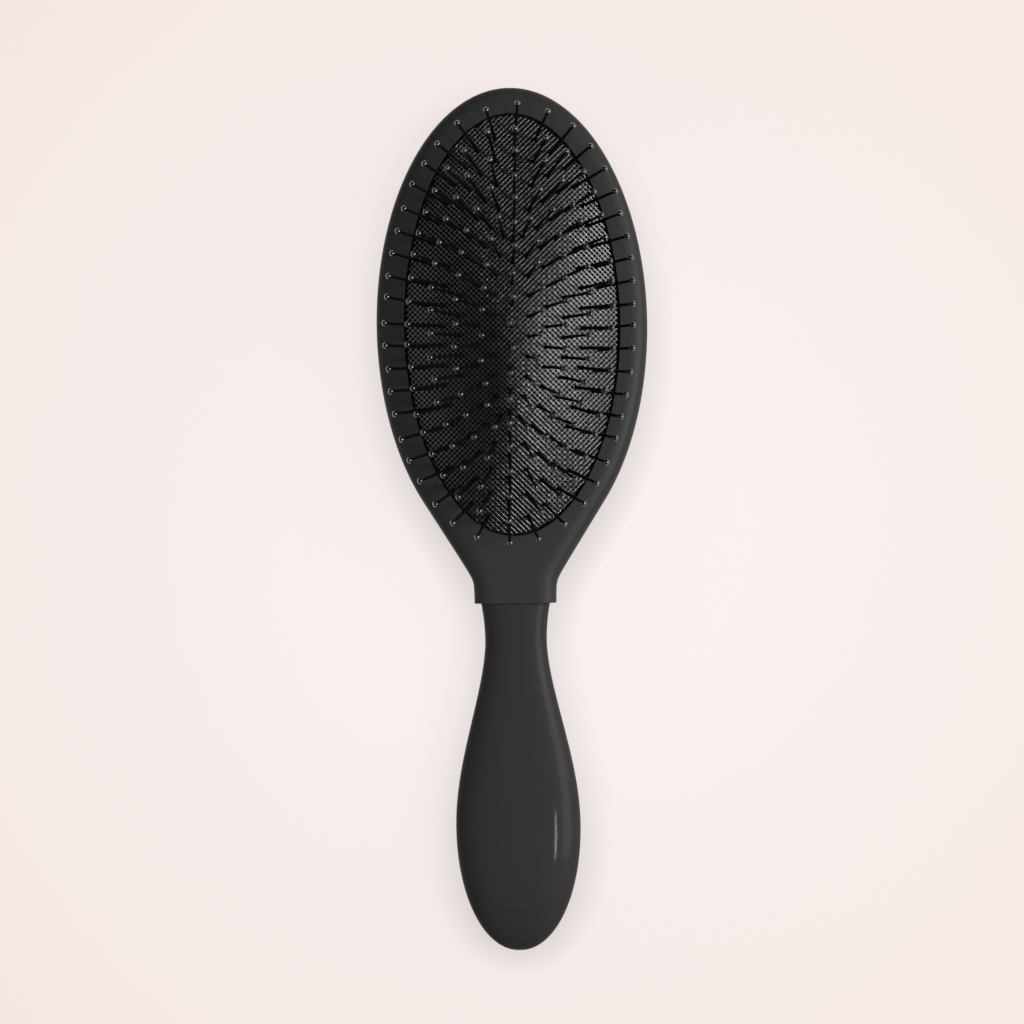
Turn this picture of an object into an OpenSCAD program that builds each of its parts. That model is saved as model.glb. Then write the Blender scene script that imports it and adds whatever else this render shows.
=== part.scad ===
// Detangling brush: an oval head with a domed air cushion full of ball-tipped pins,
// and a swelling handle that plugs into the head's collar.
// It lies on its back. +Z points up out of the pins and +Y from the handle to the head.
// The origin is at the middle of its box, on the surface that it rests on.

/* [Head] */
// Width of the head at its widest
head_w = 69.7; // [66:0.1:76]
// From the top of the head to its widest place
head_top_l = 61; // [58:0.5:68]
// Half length of the oval below the widest place
head_low_l = 61.2; // [57:0.2:65]
// Height of the head's front face above the surface it rests on
rim_z = 12.5; // [12:0.1:15]
// Height of the parting between the front and back casings
part_z = 6.5; // [6:0.1:7]
// Height of the rounded outer edge
edge_rise = 3.5; // [1.5:0.1:3.8]
// How far in from the outer edge the rim is still crowned
rim_crown = 5.4; // [3:0.1:5.6]
// Thickness of the floor of the air pocket
floor_t = 3.2; // [2.6:0.1:4]
// Width of the collar that holds the handle
collar_w = 21; // [19.6:0.2:24]
// Straight length of the collar
collar_l = 6.6; // [5.6:0.2:10]
// How much the collar's belly stands off the surface
collar_lift = 1.4; // [0.6:0.1:1.8]

/* [Cushion] */
// Width of the rim beside the cushion
rim_side = 7.15; // [6.8:0.05:9]
// Width of the rim above the cushion
rim_top = 6.9; // [6.2:0.1:9]
// Width left between the cushion and the low end of the oval
rim_low = 6.9; // [5.8:0.1:9]
// Thickness of the lip that overhangs the cushion's flange
lip_t = 2.2; // [1.6:0.1:2.6]
// Height of the cushion's crown over its edge
crown_h = 11.4; // [8:0.1:12]
// How far the cushion's edge lies below the rim
edge_drop = 0.6; // [0.2:0.1:1]
// Gap between the cushion's facing and the lip
facing_gap = 0.4; // [0.3:0.05:0.8]
// Thickness of the facing that the pins stand in
facing_t = 1.4; // [1:0.1:1.8]
// Thickness of the rubber membrane
membrane_t = 1.6; // [1.2:0.1:2]
// Width of the membrane's flange under the lip
flange_w = 3.3; // [2.6:0.1:3.6]
// Width of the frame that clamps the flange
clamp_w = 3.3; // [2.6:0.1:3.3]
// Gap between the zones of the facing
zone_gap = 0.5; // [0.45:0.05:0.8]

/* [Pins] */
// Length of a pin from the facing to the top of its ball
pin_l = 17.3; // [14:0.1:20]
// Thickness of a pin where it leaves the facing
pin_root_d = 1.3; // [1:0.05:1.6]
// Thickness of a pin under its ball
pin_d = 0.7; // [0.5:0.05:0.9]
// Diameter of the ball on a pin
ball_d = 1.9; // [1.4:0.05:2.2]
// From the outermost pins to the facing's edge, beside them
pin_side_margin = 4.9; // [4.2:0.1:5.4]
// From the outermost pins to the facing's edge, at both ends
pin_end_margin = 4.2; // [4:0.1:5.4]
// How far the field of pins sits below the middle of the facing
pin_drop = 0.9; // [0:0.1:1.2]
// Spacing of the pins in the middle row
middle_pitch = 5.4; // [5.2:0.05:5.6]
// Pins in the middle row
middle_count = 9; // [7:2:9]

/* [Handle] */
// Length of the handle from the collar to its end
handle_l = 88.7; // [84:0.1:100]
// Width of the handle where it meets the collar
neck_root_w = 17.5; // [16.6:0.1:19]
// Width of the neck at its slimmest
neck_w = 15.9; // [14:0.1:16.5]
// From the collar to the slimmest place
neck_at = 8.9; // [6:0.1:11]
// Thickness of the neck
neck_t = 10.2; // [9.6:0.1:10.8]
// Width of the grip at its widest
grip_w = 32.1; // [28:0.1:36]
// Thickness of the grip at its thickest
grip_t = 14; // [13.5:0.1:16]
// Length of the grip's rounded end
grip_end_l = 32.2; // [28:0.2:36]
// Length of the end cap
cap_l = 11; // [8:0.5:13]
// Radius of the tang that joins the head to the handle
tang_r = 3.4; // [2.8:0.1:3.6]
// Depth of the tang's socket in the collar
socket_l = 11; // [8:0.5:11]
// Length of the tang inside the grip
tang_l = 56; // [40:1:60]
// Clearance round plugs and at hairline seams
fit_gap = 0.1; // [0.05:0.05:0.2]

/* [Hidden] */

shell_grey = [0.20, 0.20, 0.19];
grip_grey = [0.21, 0.20, 0.20];
rubber_black = [0.10, 0.10, 0.10];
facing_grey = [0.16, 0.16, 0.15];
clamp_grey = [0.30, 0.30, 0.30];
core_grey = [0.36, 0.36, 0.36];

// The pins of the rings, from the outer one in
ring_counts = [44, 40, 34, 28, 22];
row_count = len(ring_counts);

// Fullness of the cushion's oval: 2 is an ellipse, more is fuller
oval_power = 2;
// Fullness of the cushion's crown and of the rim's: 2 is round, less is steeper near the middle
crown_power = 1.75;
rim_power = 2.4;

// Steps round the ovals, the casings and the handle
path_steps = 144;
oval_steps = 64;
crown_steps = 15;
low_steps = 8;
shoulder_steps = 7;
shoulder_crowding = 0.7;
rim_steps = 6;
rim_crowding = 1.7;
belly_steps = 6;
grip_sides = 26;
grip_stations = 24;
cap_stations = 9;
overrun = 1;

// The head's outline: two half ovals, a straight shoulder that leaves the low one, and the collar
shoulder_share = 0.741;
head_half_w = head_w / 2;
shoulder_d = head_top_l + head_low_l * shoulder_share;
shoulder_half = head_half_w * sqrt(1 - pow(shoulder_share, 2));
shoulder_slope = head_half_w / head_low_l * shoulder_share / sqrt(1 - pow(shoulder_share, 2));
shoulder_blend_share = 0.043;
shoulder_blend = collar_w * shoulder_blend_share;
collar_half = collar_w / 2;
collar_d = shoulder_d + (shoulder_half - collar_half) / shoulder_slope;
head_l = collar_d + collar_l;
brush_l = head_l + handle_l;
tip_share = 0.0015;
slope_step = head_top_l / 2000;

// The flat that the head rests on, as a share of the outline
land_share = 0.5;

// The air pocket under the lip
lip_z = rim_z - lip_t;
flange_z = lip_z - membrane_t;
clamp_h = flange_z - part_z;
clamp_in = fit_gap + facing_gap + fit_gap;
clamp_out = clamp_in + clamp_w;
pocket_in = clamp_in + clamp_w / 5;
aperture_a = head_half_w - rim_side;
aperture_b = (head_top_l + head_low_l - rim_top - rim_low) / 2;
cushion_d = rim_top + aperture_b;
dome_z = rim_z - edge_drop;
facing_a = aperture_a - facing_gap;
facing_b = aperture_b - facing_gap;
middle_half = middle_pitch * (middle_count - 1) / 2;
// Spacing of the pin ovals across and along the head
row_gap_x = (facing_a - pin_side_margin) / row_count;
row_gap_y = (facing_b - pin_end_margin - middle_half) / row_count;
strip_taper_share = 0.98;
membrane_shares = [0.16, 0.42, 0.62, 0.78, 0.91];
neck_share = 0.985;
membrane_drop = facing_t + 3 * fit_gap;

// The handle
mid_z = grip_t / 2;
grip_d = handle_l - grip_end_l;
grip_power = 2.8;
end_power = 2.06;
end_depth_power = 2.6;
swell_power = 0.89;
end_share = 0.9985;
cap_d = handle_l - cap_l;
bore_r = tang_r + fit_gap;
plug_r = tang_r;
plug_l = cap_l / 2;
groove_count = 4;
groove_depth = tang_r / 6;
groove_w = tang_r * 0.8;

// The y of a place that lies d from the top of the head
function at(d) = brush_l / 2 - d;

function ease(u) = let (v = min(max(u, 0), 1)) v * v * (3 - 2 * v);

// Half width of the head at a distance d from its top
function head_half(d) =
    d <= head_top_l ? head_half_w * sqrt(max(0, 1 - pow(1 - d / head_top_l, 2))) :
    d <= shoulder_d ? head_half_w * sqrt(1 - pow((d - head_top_l) / head_low_l, 2)) :
    let (rise = shoulder_half - collar_half,
        over = rise - pow(shoulder_blend, 2) / (4 * rise) - shoulder_slope * (d - shoulder_d))
    collar_half + (over + sqrt(over * over + pow(shoulder_blend, 2))) / 2;

// Places down the outline: close together at the round top and at the collar
top_places = [for (i = [0:crown_steps])
    head_top_l * (1 - cos(acos(1 - tip_share) + (90 - acos(1 - tip_share)) * i / crown_steps))];
low_places = [for (i = [1:low_steps]) head_top_l + head_low_l * sin(asin(shoulder_share) * i / low_steps)];
shoulder_places = [for (i = [1:shoulder_steps])
    shoulder_d + (collar_d + collar_l / 2 - shoulder_d) * pow(i / shoulder_steps, shoulder_crowding)];
places = concat(top_places, low_places, shoulder_places, [head_l]);

// Outward direction of the outline at a place on the right side
function side_normal(i) = i == len(places) - 1 ? [1, 0] :
    let (d = places[i], low = max(d - slope_step, 0), high = d + slope_step,
        rise = (head_half(high) - head_half(low)) / (high - low))
    [1, rise] / norm([1, rise]);

// A closed ring from the right half's points, which run down from the top
function mirrored(right) = concat(right, [for (i = [len(right) - 1:-1:0]) [-right[i].x, right[i].y, right[i].z]]);

function front_ring(inset, z) = mirrored([for (i = [0:len(places) - 1])
    let (n = side_normal(i)) [head_half(places[i]) - n.x * inset, at(places[i]) - n.y * inset, z]]);

function belly_z(d) = collar_lift * ease((d - shoulder_d) / (head_l - shoulder_d));

// A ring of the back casing: it shrinks about the widest place above it, and sideways below it
function back_ring(share, height) = mirrored([for (d = places)
    [head_half(d) * share,
        d < head_top_l ? at(head_top_l) + (head_top_l - d) * share : at(d),
        belly_z(d) + (part_z - belly_z(d)) * height]]);

// Faces of a body stacked from rings of as many points each, all clockwise seen from the last one
function stack_faces(levels, m) = concat(
    [for (j = [0:levels - 2], i = [0:m - 1], half = [0, 1])
        let (a = j * m + i, b = j * m + (i + 1) % m)
        half == 0 ? [a, b, b + m] : [a, b + m, a + m]],
    [for (k = [0:m / 2 - 2], half = [0, 1])
        half == 0 ? [m - 2 - k, k + 1, k] : [m - 1 - k, m - 2 - k, k]],
    [for (k = [0:m / 2 - 2], half = [0, 1]) let (s = (levels - 1) * m)
        half == 0 ? [s + k, s + k + 1, s + m - 2 - k] : [s + k, s + m - 2 - k, s + m - 1 - k]]);

module stack(rings) {
    polyhedron(points = [for (r = rings, p = r) p], faces = stack_faces(len(rings), len(rings[0])));
}

// An oval about the cushion's centre, at the angle t
function oval_point(a, b, t) = let (e = 2 / oval_power)
    [a * sign(cos(t)) * pow(abs(cos(t)), e), b * sign(sin(t)) * pow(abs(sin(t)), e)];

function oval_path(a, b) = [for (i = [0:path_steps]) oval_point(a, b, 90 - 360 * i / path_steps)];

function run_table(path) = [for (i = 0, s = 0; i < len(path);
    s = s + (i + 1 < len(path) ? norm(path[i + 1] - path[i]) : 0), i = i + 1) [s, i]];

// count points at even steps round an oval, clockwise from shift steps past its top
function spaced(a, b, count, shift) =
    let (path = oval_path(a, b), table = run_table(path), full = table[path_steps][0])
    [for (i = [0:count - 1])
        let (k = lookup(full * (i + shift) / count, table), low = min(floor(k), path_steps - 1))
        path[low] + (path[low + 1] - path[low]) * (k - low)];

function oval(a, b) = spaced(a, b, oval_steps, 1 / 2);

function lowered(path) = [for (p = path) [p.x, p.y - pin_drop]];

// Distance from the cushion's centre as a share of the way to the facing's edge
function radius_share(p) =
    pow(pow(abs(p.x) / facing_a, oval_power) + pow(abs(p.y) / facing_b, oval_power), 1 / oval_power);

function dome(p) = dome_z + crown_h * (1 - pow(radius_share(p), crown_power));

function on_dome(p, drop) = [p.x, p.y + at(cushion_d), dome(p) - drop];

// Outward direction of the dome, with a least share that keeps it finite at the middle pin
function dome_normal(p) =
    let (e = oval_power - 1,
        rate = crown_h * crown_power * pow(max(radius_share(p), tip_share), crown_power - oval_power),
        n = [rate * sign(p.x) * pow(abs(p.x) / facing_a, e) / facing_a,
            rate * sign(p.y) * pow(abs(p.y) / facing_b, e) / facing_b, 1])
    n / norm(n);

// The four rings of a pin that stands square to the dome, with one side along the way
function pin_points(p, way) =
    let (n = dome_normal(p),
        u = way - n * (way * n),
        u1 = u / norm(u),
        v1 = cross(n, u1),
        base = on_dome(p, 0),
        levels = [[0, pin_root_d], [pin_l - ball_d, pin_d], [pin_l - ball_d / 2, ball_d], [pin_l, ball_d / 2]])
    [for (level = levels, c = [[-1, 1], [1, 1], [1, -1], [-1, -1]])
        base + n * level[0] + (u1 * c[0] + v1 * c[1]) * level[1] / 2 * sqrt(1 / 2)];

// One zone of the facing with its pins: a closed oval band, or an open strip down the middle.
// Every pin grows out of its own tile, whose corners lie between neighbouring pins.
module pin_zone(outer, inner, pins, closed) {
    m = len(outer);
    n = len(pins);
    corner_points = concat([for (p = outer) on_dome(p, 0)], [for (p = inner) on_dome(p, 0)],
        [for (p = outer) on_dome(p, facing_t)], [for (p = inner) on_dome(p, facing_t)]);
    strands = [for (i = [0:n - 1])
        let (s = closed ? (i + n - 1) % n : i, e = closed ? i : i + 1,
            way = (outer[e] - outer[s] + inner[e] - inner[s]) / 2)
        each pin_points(pins[i], [way.x, way.y, 0])];
    tiles = [for (i = [0:n - 1])
        let (s = closed ? (i + n - 1) % n : i, e = closed ? i : i + 1,
            root = 4 * m + 16 * i,
            ball = root + 12,
            c = [s, e, m + e, m + s])
        each concat(
            [for (q = [0:3]) [c[q], c[(q + 1) % 4], root + (q + 1) % 4]],
            [for (q = [0:3]) [c[q], root + (q + 1) % 4, root + q]],
            [for (k = [0:2], q = [0:3], half = [0, 1])
                let (a = root + 4 * k + q, b = root + 4 * k + (q + 1) % 4)
                half == 0 ? [a, b, b + 4] : [a, b + 4, a + 4]],
            [[ball, ball + 1, ball + 2], [ball, ball + 2, ball + 3],
                [2 * m + s, 3 * m + s, 3 * m + e], [2 * m + s, 3 * m + e, 2 * m + e],
                [2 * m + s, 2 * m + e, e], [2 * m + s, e, s],
                [3 * m + e, 3 * m + s, m + s], [3 * m + e, m + s, m + e]])];
    ends = closed ? [] : [[3 * m, 2 * m, 0], [3 * m, 0, m],
        [3 * m - 1, 4 * m - 1, 2 * m - 1], [3 * m - 1, 2 * m - 1, m - 1]];
    polyhedron(points = concat(corner_points, strands), faces = concat(tiles, ends));
}

// Ring number k of pins, counted from the outer one
module bristles_ring(k) {
    rows = row_count - k;
    count = ring_counts[k];
    half_gap = zone_gap / 2;
    outer_a = row_gap_x * (rows + 1 / 2) - half_gap;
    outer_b = middle_half + row_gap_y * (rows + 1 / 2) - half_gap;
    inner_a = row_gap_x * (rows - 1 / 2) + half_gap;
    inner_b = middle_half + row_gap_y * (rows - 1 / 2) + half_gap;
    outer = k == 0 ? spaced(facing_a, facing_b, count, 1 / 2) : lowered(spaced(outer_a, outer_b, count, 1 / 2));
    color(facing_grey)
        pin_zone(outer, lowered(spaced(inner_a, inner_b, count, 1 / 2)),
            lowered(spaced(row_gap_x * rows, middle_half + row_gap_y * rows, count, 0)), true);
}

module bristles_middle() {
    half_w = (row_gap_x - zone_gap) / 2;
    half_l = middle_half + (row_gap_y - zone_gap) / 2;
    end_y = middle_half + pin_root_d / 2;
    // The strip narrows towards both ends, inside the innermost ring
    edge = [for (i = [0:middle_count])
        let (y = min(max(middle_half + middle_pitch * (1 / 2 - i), -end_y), end_y))
        [half_w * sqrt(1 - strip_taper_share * pow(y / half_l, 2)), y]];
    color(facing_grey)
        pin_zone(lowered(edge), lowered([for (p = edge) [-p.x, p.y]]),
            lowered([for (i = [0:middle_count - 1]) [0, middle_half - middle_pitch * i]]), false);
}

// The rubber membrane: a thin dome under the facing, and a flange that the lip and clamp hold
module cushion() {
    centre = [for (s = membrane_shares) oval(facing_a * s, facing_b * s)];
    flange = oval(aperture_a + flange_w, aperture_b + flange_w);
    neck = oval(facing_a * neck_share, facing_b * neck_share);
    top = concat([for (ring = centre) [for (p = ring) on_dome(p, membrane_drop)]],
        [[for (p = neck) [p.x, p.y + at(cushion_d), lip_z]]]);
    bottom = concat([for (ring = centre) [for (p = ring) on_dome(p, membrane_drop + membrane_t)]],
        [[for (p = neck) [p.x, p.y + at(cushion_d), flange_z]]]);
    rings = concat(bottom,
        [[for (p = flange) [p.x, p.y + at(cushion_d), flange_z]]],
        [[for (p = flange) [p.x, p.y + at(cushion_d), lip_z]]],
        [for (i = [len(top) - 1:-1:0]) top[i]]);
    color(rubber_black) stack(rings);
}

// A flat oval plate that stands proud of the aperture by grow
module oval_plate(grow, z, h) {
    translate([0, at(cushion_d), z])
        linear_extrude(height = h)
            polygon(oval(aperture_a + grow, aperture_b + grow));
}

module cushion_clamp() {
    color(clamp_grey)
        difference() {
            oval_plate(clamp_out, part_z, clamp_h);
            oval_plate(clamp_in, part_z - overrun, clamp_h + 2 * overrun);
        }
}

// A rod along the handle, from one distance below the head's top to another
module rod(r, from, to) {
    translate([0, at(from), mid_z])
        rotate([90, 0, 0])
            cylinder(r = r, h = to - from, $fn = 48);
}

module head_front() {
    crowned = [for (i = [0:rim_steps])
        let (u = pow(i / rim_steps, rim_crowding))
        front_ring(rim_crown * u, rim_z - edge_rise * (1 - sqrt(1 - pow(1 - u, rim_power))))];
    color(shell_grey)
        difference() {
            stack(concat([front_ring(0, part_z)], crowned));
            oval_plate(0, lip_z - overrun, lip_t + 2 * overrun);
            oval_plate(clamp_out + fit_gap, part_z - overrun, lip_z - part_z + overrun);
            rod(bore_r, head_l - socket_l, head_l + overrun);
        }
}

module head_back() {
    rings = [for (i = [0:belly_steps])
        let (t = 90 * (1 - i / belly_steps))
        back_ring(land_share + (1 - land_share) * cos(t), 1 - sin(t))];
    color(shell_grey)
        difference() {
            stack(rings);
            oval_plate(pocket_in, floor_t, part_z - floor_t + overrun);
            rod(bore_r, head_l - socket_l, head_l + overrun);
        }
}

// Half width of the handle at a distance d from the collar
function handle_half(d) =
    d < neck_at ? (neck_w + (neck_root_w - neck_w) * pow(1 - d / neck_at, 2)) / 2 :
    d < grip_d ? (neck_w + (grip_w - neck_w) * ease(pow((d - neck_at) / (grip_d - neck_at), swell_power))) / 2 :
    grip_w / 2 * pow(1 - pow((d - grip_d) / grip_end_l, end_power), 1 / end_power);

// Half thickness of the handle there
function handle_depth(d) =
    d < grip_d ? (neck_t + (grip_t - neck_t) * ease(d / grip_d)) / 2 :
    grip_t / 2 * pow(1 - pow((d - grip_d) / grip_end_l, end_depth_power), 1 / end_depth_power);

// A cross-section of the handle, clockwise seen from its end
function handle_ring(d) = let (w = handle_half(d), h = handle_depth(d), e = 2 / grip_power)
    [for (i = [0:grip_sides - 1])
        let (t = 90 - 360 * (i + 1 / 2) / grip_sides)
        [w * sign(cos(t)) * pow(abs(cos(t)), e), at(head_l + d), mid_z + h * sign(sin(t)) * pow(abs(sin(t)), e)]];

module handle_grip() {
    color(grip_grey)
        difference() {
            stack([for (i = [0:grip_stations]) handle_ring(fit_gap + (cap_d - fit_gap) * i / grip_stations)]);
            rod(bore_r, head_l - overrun, head_l + tang_l + fit_gap);
            rod(plug_r + fit_gap, head_l + cap_d - plug_l - fit_gap, head_l + cap_d + overrun);
        }
}

module handle_core() {
    color(core_grey)
        difference() {
            rod(tang_r, head_l - socket_l + fit_gap, head_l + tang_l);
            // Grooves that the moulded grip keys into
            for (i = [1:groove_count]) {
                from = head_l + tang_l * i / (groove_count + 1);
                difference() {
                    rod(tang_r + overrun, from, from + groove_w);
                    rod(tang_r - groove_depth, from - overrun, from + groove_w + overrun);
                }
            }
        }
}

module end_cap() {
    start = cap_d + fit_gap;
    last = grip_d + grip_end_l * end_share;
    color(grip_grey)
        union() {
            stack([for (i = [0:cap_stations])
                let (share = sin(90 * i / cap_stations)) handle_ring(start + (last - start) * share)]);
            rod(plug_r, head_l + cap_d - plug_l, head_l + cap_d + cap_l / 3);
        }
}

head_front();
head_back();
cushion();
cushion_clamp();
bristles_ring(0);  // bristles_ring_1
bristles_ring(1);  // bristles_ring_2
bristles_ring(2);  // bristles_ring_3
bristles_ring(3);  // bristles_ring_4
bristles_ring(4);  // bristles_ring_5
bristles_middle();
handle_grip();
handle_core();
end_cap();
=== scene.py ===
import math

import bpy
import numpy as np
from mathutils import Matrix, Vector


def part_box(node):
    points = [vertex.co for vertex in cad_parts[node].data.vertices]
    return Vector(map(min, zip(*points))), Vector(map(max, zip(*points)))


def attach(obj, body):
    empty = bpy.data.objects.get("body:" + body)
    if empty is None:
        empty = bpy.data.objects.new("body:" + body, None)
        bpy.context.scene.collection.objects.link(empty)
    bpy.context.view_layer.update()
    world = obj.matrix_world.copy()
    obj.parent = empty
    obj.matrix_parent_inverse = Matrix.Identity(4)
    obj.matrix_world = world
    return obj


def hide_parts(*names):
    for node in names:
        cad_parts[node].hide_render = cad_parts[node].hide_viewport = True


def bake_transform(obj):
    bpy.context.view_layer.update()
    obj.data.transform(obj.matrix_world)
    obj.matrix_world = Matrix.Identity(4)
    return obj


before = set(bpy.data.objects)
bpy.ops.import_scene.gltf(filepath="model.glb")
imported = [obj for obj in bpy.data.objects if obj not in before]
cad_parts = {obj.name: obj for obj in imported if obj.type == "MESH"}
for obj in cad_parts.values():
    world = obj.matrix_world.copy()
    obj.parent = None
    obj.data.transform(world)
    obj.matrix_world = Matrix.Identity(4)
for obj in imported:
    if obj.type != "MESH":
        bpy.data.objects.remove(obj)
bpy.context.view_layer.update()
mm = 0.001
hardEdge = math.radians(40)      # faces that meet more sharply than this keep an edge between them


def boxOf(node):
    low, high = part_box(node)
    return np.array(low), np.array(high)


def smooth(t):
    # 3 t squared less 2 t cubed, level at both ends
    t = np.clip(t, 0.0, 1.0)
    return t * t * (3 - 2 * t)


def linearColour(hexText):
    # sRGB hex to linear: the usual curve, with its straight foot below 0.04045
    c = np.array([int(hexText[i:i + 2], 16) for i in (1, 3, 5)]) / 255
    c = np.where(c <= 0.04045, c / 12.92, ((c + 0.055) / 1.055) ** 2.4)
    return (float(c[0]), float(c[1]), float(c[2]), 1.0)


# Meshes

def meshFrom(name, points, faces, material):
    mesh = bpy.data.meshes.new(name)
    points = np.asarray(points, np.float32)
    faces = np.asarray(faces, np.int32)
    sides = faces.shape[1]
    mesh.vertices.add(len(points))
    mesh.vertices.foreach_set("co", points.ravel())
    mesh.loops.add(faces.size)
    mesh.loops.foreach_set("vertex_index", faces.ravel())
    mesh.polygons.add(len(faces))
    mesh.polygons.foreach_set("loop_start", np.arange(len(faces), dtype=np.int32) * sides)
    mesh.polygons.foreach_set("use_smooth", np.ones(len(faces), bool))
    mesh.update(calc_edges=True)
    mesh.validate()
    mesh.materials.append(material)
    piece = bpy.data.objects.new(name, mesh)
    bpy.context.scene.collection.objects.link(piece)
    return piece


def stackFaces(levels, m, wrap=False):
    # quads between rings of m points that run clockwise seen from the last ring,
    # then caps made of strips between each point and its mirror image
    i = np.arange(m)
    j = np.arange(levels if wrap else levels - 1)
    a = j[:, None] * m + i[None, :]
    b = j[:, None] * m + (i[None, :] + 1) % m
    up = ((j + 1) % levels)[:, None] * m
    quads = np.stack([a, up + i[None, :], up + (i[None, :] + 1) % m, b], -1).reshape(-1, 4)
    if wrap:
        return quads
    k = np.arange(m // 2 - 1)
    cap = np.stack([k, m - 1 - k, m - 2 - k, k + 1], -1)
    return np.concatenate([quads, cap[:, ::-1], cap + (levels - 1) * m])


def stackPiece(name, rings, material, wrap=False):
    rings = np.asarray(rings)
    levels, m = rings.shape[:2]
    piece = meshFrom(name, rings.reshape(-1, 3), stackFaces(levels, m, wrap), material)
    piece.data.set_sharp_from_angle(angle=hardEdge)
    return piece


# Materials

def addNode(tree, kind, settings=None, links=None):
    # one node, its values by name, and what feeds its inputs
    node = tree.nodes.new(kind)
    for key, value in (settings or {}).items():
        if key in node.inputs:
            node.inputs[key].default_value = value
        else:
            setattr(node, key, value)
    for key, source in (links or {}).items():
        tree.links.new(source, node.inputs[key])
    return node


def newMaterial(name):
    material = bpy.data.materials.new(name)
    material.use_nodes = True
    tree = material.node_tree
    return material, tree, tree.nodes["Principled BSDF"]


# ABS moulded in a spark-eroded tool: an even charcoal satin with soft, wide highlights
satinAbs = {
    "colour": "#2c2c2b",
    "roughness": 0.44,
    "spread": 0.04,              # how far the roughness varies either way
    "ior": 1.50,
    "level": 0.10,               # low, because the grain breaks up the reflection
    "coat": 0.0,
    "grain": 0.30,               # mm, coarser than such a grain really is, so that it can show
    "bump": 0.05,
}
# soft-touch paint sprayed over the moulding: darker and more matt, with a faint sheen on top
softTouch = {
    "colour": "#282726",
    "roughness": 0.60,
    "spread": 0.04,
    "ior": 1.48,
    "level": 0.12,
    "coat": 0.035,
    "grain": 0.22,               # mm, drawn coarser than it is here too
    "bump": 0.05,
}
mouldedLook = {
    "patch": 18 * mm,            # size of the slow drift in colour and gloss
    "drift": 0.07,               # how far the colour drifts either way
    "bumpDepth": 0.05 * mm,
    "coatRoughness": 0.07,
}


def mouldedPlastic(name, look):
    # fine grain as bump, and patches that drift a little in colour and roughness
    material, tree, shader = newMaterial(name)
    place = addNode(tree, "ShaderNodeTexCoord")
    grain = addNode(tree, "ShaderNodeTexNoise",
                    {"Scale": 1 / (look["grain"] * mm), "Detail": 2.0, "Roughness": 0.5},
                    {"Vector": place.outputs["Object"]})
    cloud = addNode(tree, "ShaderNodeTexNoise",
                    {"Scale": 1 / mouldedLook["patch"], "Detail": 3.0, "Roughness": 0.55},
                    {"Vector": place.outputs["Object"]})
    base = np.array(linearColour(look["colour"]))
    less, more = 1 - mouldedLook["drift"], 1 + mouldedLook["drift"]
    tint = addNode(tree, "ShaderNodeMix", {"data_type": "RGBA"}, {"Factor": cloud.outputs["Fac"]})
    tint.inputs["A"].default_value = tuple(base * [less, less, less, 1])
    tint.inputs["B"].default_value = tuple(base * [more, more, more, 1])
    tree.links.new(tint.outputs["Result"], shader.inputs["Base Color"])
    rough = addNode(tree, "ShaderNodeMapRange",
                    {"From Min": 0.3, "From Max": 0.7,
                     "To Min": look["roughness"] - look["spread"],
                     "To Max": look["roughness"] + look["spread"]},
                    {"Value": cloud.outputs["Fac"]})
    tree.links.new(rough.outputs["Result"], shader.inputs["Roughness"])
    bump = addNode(tree, "ShaderNodeBump",
                   {"Strength": look["bump"], "Distance": mouldedLook["bumpDepth"]},
                   {"Height": grain.outputs["Fac"]})
    tree.links.new(bump.outputs["Normal"], shader.inputs["Normal"])
    shader.inputs["IOR"].default_value = look["ior"]
    shader.inputs["Specular IOR Level"].default_value = look["level"]
    shader.inputs["Coat Weight"].default_value = look["coat"]
    shader.inputs["Coat Roughness"].default_value = mouldedLook["coatRoughness"]
    return material


# drawn nylon: dull black shafts that keep the field of pins dark
drawnNylon = {"colour": "#030303", "roughness": 0.7, "ior": 1.45, "level": 0.15, "coat": 0.0}
# balls dipped in clear epoxy: glossy enough for one spark of light on each
dippedBall = {"colour": "#040404", "roughness": 0.08, "ior": 1.55, "level": 0.5, "coat": 0.8}
# moulded rubber: the plain black between the threads
mouldedRubber = {"colour": "#060606", "roughness": 0.6, "ior": 1.45, "level": 0.5, "coat": 0.0}
# woven polyester: bright glints where a thread faces the lamp, black elsewhere. Its IOR is above
# polyester's, for the sheen of a yarn's many filaments
wovenPolyester = {"colour": "#101010", "roughness": 0.22, "ior": 1.85, "level": 1.0, "coat": 0.0}
# moulded ABS of the hidden pieces: plain grey
greyAbs = {"colour": "#606060", "roughness": 0.5, "ior": 1.52, "level": 0.5, "coat": 0.0}
plainLook = {
    "patch": 3 * mm,             # size of the slight unevenness in the gloss
    "spread": 0.2,               # share by which the roughness varies either way
    "coatRoughness": 0.05,
    "coatIor": 1.6,
}


def plainPlastic(name, look):
    # one colour with a slightly uneven gloss
    material, tree, shader = newMaterial(name)
    place = addNode(tree, "ShaderNodeTexCoord")
    cloud = addNode(tree, "ShaderNodeTexNoise", {"Scale": 1 / plainLook["patch"], "Detail": 2.0},
                    {"Vector": place.outputs["Object"]})
    rough = addNode(tree, "ShaderNodeMapRange",
                    {"From Min": 0.3, "From Max": 0.7,
                     "To Min": look["roughness"] * (1 - plainLook["spread"]),
                     "To Max": look["roughness"] * (1 + plainLook["spread"])},
                    {"Value": cloud.outputs["Fac"]})
    tree.links.new(rough.outputs["Result"], shader.inputs["Roughness"])
    shader.inputs["Base Color"].default_value = linearColour(look["colour"])
    shader.inputs["IOR"].default_value = look["ior"]
    shader.inputs["Specular IOR Level"].default_value = look["level"]
    shader.inputs["Coat Weight"].default_value = look["coat"]
    shader.inputs["Coat Roughness"].default_value = plainLook["coatRoughness"]
    shader.inputs["Coat IOR"].default_value = plainLook["coatIor"]
    return material


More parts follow.
